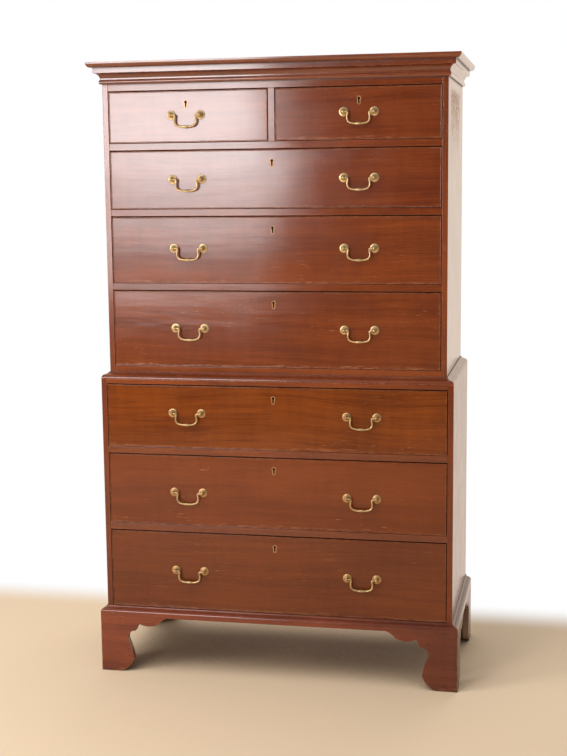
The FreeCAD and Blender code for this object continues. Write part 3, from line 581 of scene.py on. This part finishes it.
# Steel: its file lines, its brown spots, and its roughness clean and spotted
FILE_NOISE, FILE_STRENGTH, FILE_DEPTH = ((60.0, 900.0, 1400.0), 3.0, 0.6), 0.15, 0.0002
SPOT_NOISE, SPOT_STEP = ((160.0, 160.0, 160.0), 4.0, 0.5), (0.55, 0.7)
STEEL_ROUGHNESS = (0.34, 0.6)


def dull_steel(name):
    """File-finished steel with brown spots, black with tarnish and painted shade where it lies
    inside a lock.
    """
    material, recipe, shader, where = new_material(name)
    place = where["Object"]
    edges = recipe.use(EDGES, {"Place": place, "Edge": METAL_ARRIS, "Corner": BOLT_SHADE_AND_TARNISH})
    # Tarnish and painted shade where the steel is closed in, as inside its lock.
    tarnished_and_shaded = edges["Grime_and_shade"]
    lines = recipe.noise(place, *FILE_NOISE)
    spots = recipe.eased(recipe.noise(place, *SPOT_NOISE), *SPOT_STEP)
    grey = recipe.blended(lines, DARK_STEEL, LIGHT_STEEL)
    spotted = recipe.blended(spots, grey, SPOTTED_STEEL)
    raised = recipe.put("ShaderNodeBump", {"Strength": FILE_STRENGTH, "Distance": FILE_DEPTH,
                                           "Height": lines})
    recipe.feed(shader, {"Base Color": recipe.blended(tarnished_and_shaded, spotted, TARNISH_AND_SHADE),
                         "Metallic": recipe.less(1.0, recipe.times(tarnished_and_shaded, COVERED_METAL)),
                         "Roughness": recipe.between(spots, *STEEL_ROUGHNESS),
                         "Normal": raised.outputs[0]})
    return material


def dress(material, *names):
    """Gives pieces of the chest one material."""
    for name in names:
        mesh = nodes[name].data
        mesh.materials.clear()
        mesh.materials.append(material)


# How much lighter and darker than its middle tone a wood gets in red, green and blue
LIGHTER, DARKER = (0.42, 0.56, 0.3), (0.36, 0.42, 0.4)


def shades(red, green, blue, contrast=0.8):
    """The light and dark of one wood about its middle tone; the light one is more golden."""
    middle = tone(red, green, blue)
    light = [level * (1.0 + gain * contrast) for level, gain in zip(middle, LIGHTER)]
    dark = [level * (1.0 - loss * contrast) for level, loss in zip(middle, DARKER)]
    return light + [1.0], dark + [1.0]


# Finishes that several pieces share
BARE = dict(wear=0.4, worn=WORN_BARE_WOOD, shade_and_grime=0.6, gloss=0.6, coat=0.0, waves=0.2, pores=0.35)
SIDE = dict(grain=upright_grain, gloss=0.2, shine=0.35, matt=0.6, worn=SCRAPED_MAHOGANY)
DUSTY = dict(stains_and_shade=((faded_top, DUST),), dulled=dusty_top)
MOULDED = dict(grain=mitred_grain(UPPER_LOW, UPPER_HIGH), waves=0.3, gloss=0.2)
PLINTH = dict(colours=shades(115, 50, 28), seed=11.2, grain=mitred_grain(LOWER_LOW, LOWER_HIGH),
              waves=0.4, shine=0.4)
# The sides of the cases: their seed, middle tone and coat, and what is scraped off
SIDES = {"upper_left_side": (4.0, (120, 55, 24), 0.7, None),
         "upper_right_side": (5.0, (116, 52, 20), 0.7, scraped_patch),
         "lower_left_side": (6.0, (109, 45, 18), 0.3, None),
         "lower_right_side": (7.0, (110, 44, 8), 0.3, None)}


def dress_case():
    """Materials of the fixed pieces."""
    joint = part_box("bracket_feet")[1][2]
    dress(polished_wood("rail_mahogany", shades(114, 50, 18), 1.3, lean=(0.01, 0.0, 0.0),
                        coat=0.15), "drawer_rails")
    dress(polished_wood("board_mahogany", shades(122, 55, 22), 2.1, **DUSTY),
          "upper_top_and_bottom", "lower_top_and_bottom")
    for name, (seed, middle, coat, scraped) in SIDES.items():
        dress(polished_wood(name + "_mahogany", shades(*middle), seed, coat=coat, extra=scraped,
                            **SIDE), name)
    dress(polished_wood("cornice_mahogany", shades(112, 49, 18), 9.1, coat=0.75, shade_and_grime=0.6,
                        wear=0.5, **MOULDED, **DUSTY), "cornice")
    dress(polished_wood("waist_mahogany", shades(110, 48, 20), 9.7, **MOULDED), "waist_moulding")
    # The base and the feet get painted shade towards their right end.
    dress(polished_wood("base_mahogany", gloss=0.2, spared=clear_of(joint, UPWARDS),
                        stains_and_shade=((shaded_right_end, SHADED_WOOD),), **PLINTH), "base_moulding")
    dress(polished_wood("foot_mahogany", gloss=0.28, coat=0.2, edge=0.004, wear=0.6,
                        extra=rubbed_foot(0.002, 0.6), spared=clear_of(joint, DOWNWARDS),
                        stains_and_shade=((shaded_right_end, SHADED_WOOD), (sawn_edges, DUST)), dulled=sawn_edges,
                        **PLINTH), "bracket_feet")
    dress(polished_wood("dust_board_pine", shades(152, 112, 72), 12.4, streaks=0.9, **BARE),
          "dust_boards")
    dress(polished_wood("back_board_pine", shades(136, 100, 68), 13.6, planked_grain, streaks=1.0,
                        stains_and_shade=((nail_heads, RUST),), **BARE), "back_boards")
    dress(polished_wood("foot_block_pine", shades(130, 94, 62), 14.2, upright_grain, **BARE),
          "foot_blocks")


# Each drawer front from the top down: its middle tone, the contrast of its figure, how far it
# leans to the left and upwards, and how much its foot is rubbed
Front = namedtuple("Front", "middle contrast left up rubbed")
FRONTS = {"top_left": Front((115, 50, 19), 0.75, 0.0, 0.0, 0.2),
          "top_right": Front((110, 48, 18), 0.75, 0.0, 0.0, 0.25),
          "upper_first": Front((111, 48, 18), 0.7, 0.016, 0.004, 0.2),
          "upper_second": Front((116, 50, 16), 0.75, 0.010, -0.034, 0.25),
          "upper_third": Front((115, 50, 17), 0.7, 0.003, 0.005, 0.36),
          "lower_first": Front((114, 51, 11), 0.95, 0.0, 0.005, 0.25),
          "lower_second": Front((112, 48, 12), 0.6, 0.0, 0.0, 0.25),
          "lower_third": Front((106, 48, 18), 0.55, 0.0, 0.0, 0.2)}
FIRST_SEED, NEXT_SEED = 20.0, 1.7
UPPER_POLISH, LOWER_POLISH = dict(shine=0.5, coat=0.3), dict(shine=0.34, coat=0.1)


def dress_drawers():
    """Materials of the drawers, each front a board of its own."""
    steel = dull_steel("dull_steel")
    oak = polished_wood("lining_oak", shades(166, 126, 82), 15.8, boxed_grain, streaks=0.9, **BARE)
    upper_brass = aged_brass("upper_brass", tone(232, 200, 146), UPPER_LOW[1])
    lower_roses = aged_brass("lower_rose_brass", tone(210, 168, 114), LOWER_LOW[1])
    lower_bails = aged_brass("lower_bail_brass", tone(222, 192, 140), LOWER_LOW[1])
    for number, (name, front) in enumerate(FRONTS.items()):
        board = name + "_drawer_front"
        low_down = name.startswith("lower")
        dress(polished_wood(name + "_mahogany", shades(*front.middle, front.contrast),
                            FIRST_SEED + number * NEXT_SEED, lean=(front.left, 0.0, -front.up),
                            extra=rubbed_foot(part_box(board)[0][2], front.rubbed),
                            **(LOWER_POLISH if low_down else UPPER_POLISH)), board)
        dress(oak, name + "_drawer_box")
        dress(steel, name + "_lock_bolt")
        bails = [node for node in nodes if node.startswith(name) and node.endswith("_bail")]
        dress(lower_roses if low_down else upper_brass, name + "_drawer_fittings")
        dress(lower_bails if low_down else upper_brass, *bails)


# The floor: its size, where it turns into a white wall behind the chest, where it fades far from
# the chest, and how far and how deep the chest shades it
FLOOR_SIZE = 60.0
WALL_STEP, DISTANCE_STEP = (0.34, 0.6), (2.2, 5.0)
SHADE_REACH, SHADE_STEP = 0.5, (0.05, 0.5)
FLOOR_ROUGHNESS = 0.7


def lay_floor():
    """A plain pale floor with a painted shadow under and round the chest, that fades to white
    behind the chest and far away.
    """
    bpy.ops.mesh.primitive_plane_add(size=FLOOR_SIZE, location=(0.0, 0.0, 0.0))
    floor = bpy.context.object
    floor.name = "floor"
    material, recipe, shader, where = new_material("pale_floor")
    place = where["Object"]
    far = recipe.put("ShaderNodeVectorMath", {0: place}, operation="LENGTH").outputs["Value"]
    path = recipe.put("ShaderNodeLightPath", {}).outputs
    mirrored = recipe.most(path["Is Glossy Ray"], path["Is Transmission Ray"])
    seen = recipe.most(path["Is Camera Ray"], mirrored)
    behind = recipe.times(recipe.eased(recipe.parts(place)[1], *WALL_STEP), seen)
    distant = recipe.times(recipe.eased(far, *DISTANCE_STEP), path["Is Camera Ray"])
    pale = recipe.blended(path["Is Camera Ray"], WARM_WALL, WHITE)
    wall = recipe.put("ShaderNodeEmission", {"Color": pale, "Strength": 1.0})
    mixed = recipe.put("ShaderNodeMixShader", {0: recipe.most(behind, distant),
                                               1: shader.outputs[0], 2: wall.outputs[0]})
    recipe.feed(material.node_tree.nodes["Material Output"], {"Surface": mixed.outputs[0]})
    # Painted shadow: the floor turns darker where the chest closes it in, under and round the
    # chest.
    lit = recipe.eased(recipe.openness(SHADE_REACH), *SHADE_STEP)
    recipe.feed(shader, {"Base Color": recipe.blended(lit, SHADED_FLOOR, PALE_FLOOR),
                         "Roughness": FLOOR_ROUGHNESS})
    floor.data.materials.append(material)


# Each lamp: its place, what it points at, its width and height, its watts and colour, and whether
# polish mirrors it
LAMPS = {
    "window": ((-1.47, -4.1, 1.93), (-0.29, -0.229, 1.73), 1.15, 0.8, 40.0, DAYLIGHT, True),
    "window_foot": ((-1.47, -4.1, 1.2), (-0.29, -0.229, 1.4), 1.15, 0.62, 17.0, DAYLIGHT, True),
    "fill": ((-3.3, -2.6, 1.7), (0.0, -0.25, 0.9), 1.5, 2.0, 53.0, LAMPLIGHT, True),
    "overhead": ((-1.4, -2.6, 4.0), (0.0, -0.2, 0.9), 4.0, 3.0, 86.0, LAMPLIGHT, False),
    "rear": ((0.4, 2.4, 3.7), (0.0, 0.27, 0.9), 2.6, 2.0, 36.0, LAMPLIGHT, False)}
# The surround: where the wall behind and the ceiling begin, how strongly it lights from level to
# overhead, and how bright polish mirrors the room, the wall and the ceiling
REAR_STEP, CEILING_STEP, SOFT_STEP = (-0.15, 0.15), (0.2, 0.7), (0.0, 0.8)
SOFT_LIGHT = (0.08, 0.4)
MIRRORED_ROOM, MIRRORED_WALL, MIRRORED_CEILING = 0.12, 1.0, 0.45


def hang_lamp(name, place, aim, width, height, watts, colour, mirrored):
    """A flat lamp that faces what it points at."""
    data = bpy.data.lights.new(name, "AREA")
    data.shape = "RECTANGLE"
    data.size = width
    data.size_y = height
    data.energy = watts
    data.color = colour
    lamp = bpy.data.objects.new(name, data)
    lamp.location = place
    lamp.rotation_euler = (Vector(aim) - Vector(place)).to_track_quat("-Z", "Y").to_euler()
    lamp.visible_glossy = mirrored
    bpy.context.scene.collection.objects.link(lamp)


def light_room():
    """A pale room: a dim surround, a window at the front left, a fill, and lamps overhead and
    behind."""
    world = bpy.data.worlds.new("pale_room")
    bpy.context.scene.world = world
    world.use_nodes = True
    recipe = Recipe(world.node_tree)
    direction = recipe.parts(recipe.put("ShaderNodeTexCoord", {}).outputs["Generated"])
    behind = recipe.eased(direction[1], *REAR_STEP)
    ceiling = recipe.eased(direction[2], *CEILING_STEP)
    path = recipe.put("ShaderNodeLightPath", {}).outputs
    shiny = recipe.most(path["Is Glossy Ray"], path["Is Transmission Ray"])
    soft = recipe.eased(direction[2], *SOFT_STEP, *SOFT_LIGHT)
    mirrored = recipe.most(recipe.between(behind, MIRRORED_ROOM, MIRRORED_WALL),
                           recipe.between(ceiling, MIRRORED_ROOM, MIRRORED_CEILING))
    strength = recipe.put("ShaderNodeMix", {0: shiny, 2: soft, 3: mirrored}).outputs[0]
    warm = recipe.blended(recipe.times(behind, shiny), (*LAMPLIGHT, 1.0), WARM_WALL)
    recipe.feed(world.node_tree.nodes["Background"],
                {"Color": recipe.blended(path["Is Camera Ray"], warm, WHITE),
                 "Strength": recipe.most(strength, path["Is Camera Ray"])})
    for name, settings in LAMPS.items():
        hang_lamp(name, *settings)


# The camera: what points right and up in its picture, where it stands, and its focal length as a
# share of the picture's height
CAMERA_RIGHT = Vector((0.97878, 0.20464, -0.01072))
CAMERA_UP = Vector((-0.01887, 0.14212, 0.98967))
CAMERA_PLACE = Vector((0.8592, -4.1755, 1.5071))
FOCAL_SHARE = 1373.287 / 756.0
SENSOR = 36.0


def set_camera():
    """The camera stands in front and to the right, above the middle, and looks slightly down."""
    data = bpy.data.cameras.new("camera")
    data.sensor_fit = "VERTICAL"
    data.sensor_height = SENSOR
    data.sensor_width = SENSOR
    data.lens = FOCAL_SHARE * SENSOR
    camera = bpy.data.objects.new("camera", data)
    columns = (CAMERA_RIGHT, CAMERA_UP, CAMERA_RIGHT.cross(CAMERA_UP), CAMERA_PLACE)
    rows = [[column[axis] for column in columns] for axis in range(3)]
    camera.matrix_world = Matrix(rows + [[0.0, 0.0, 0.0, 1.0]])
    bpy.context.scene.collection.objects.link(camera)
    bpy.context.scene.camera = camera


bpy.ops.object.select_all(action="DESELECT")
dress_case()
dress_drawers()
lay_floor()
light_room()
set_camera()
bpy.context.scene.view_settings.view_transform = "Standard"
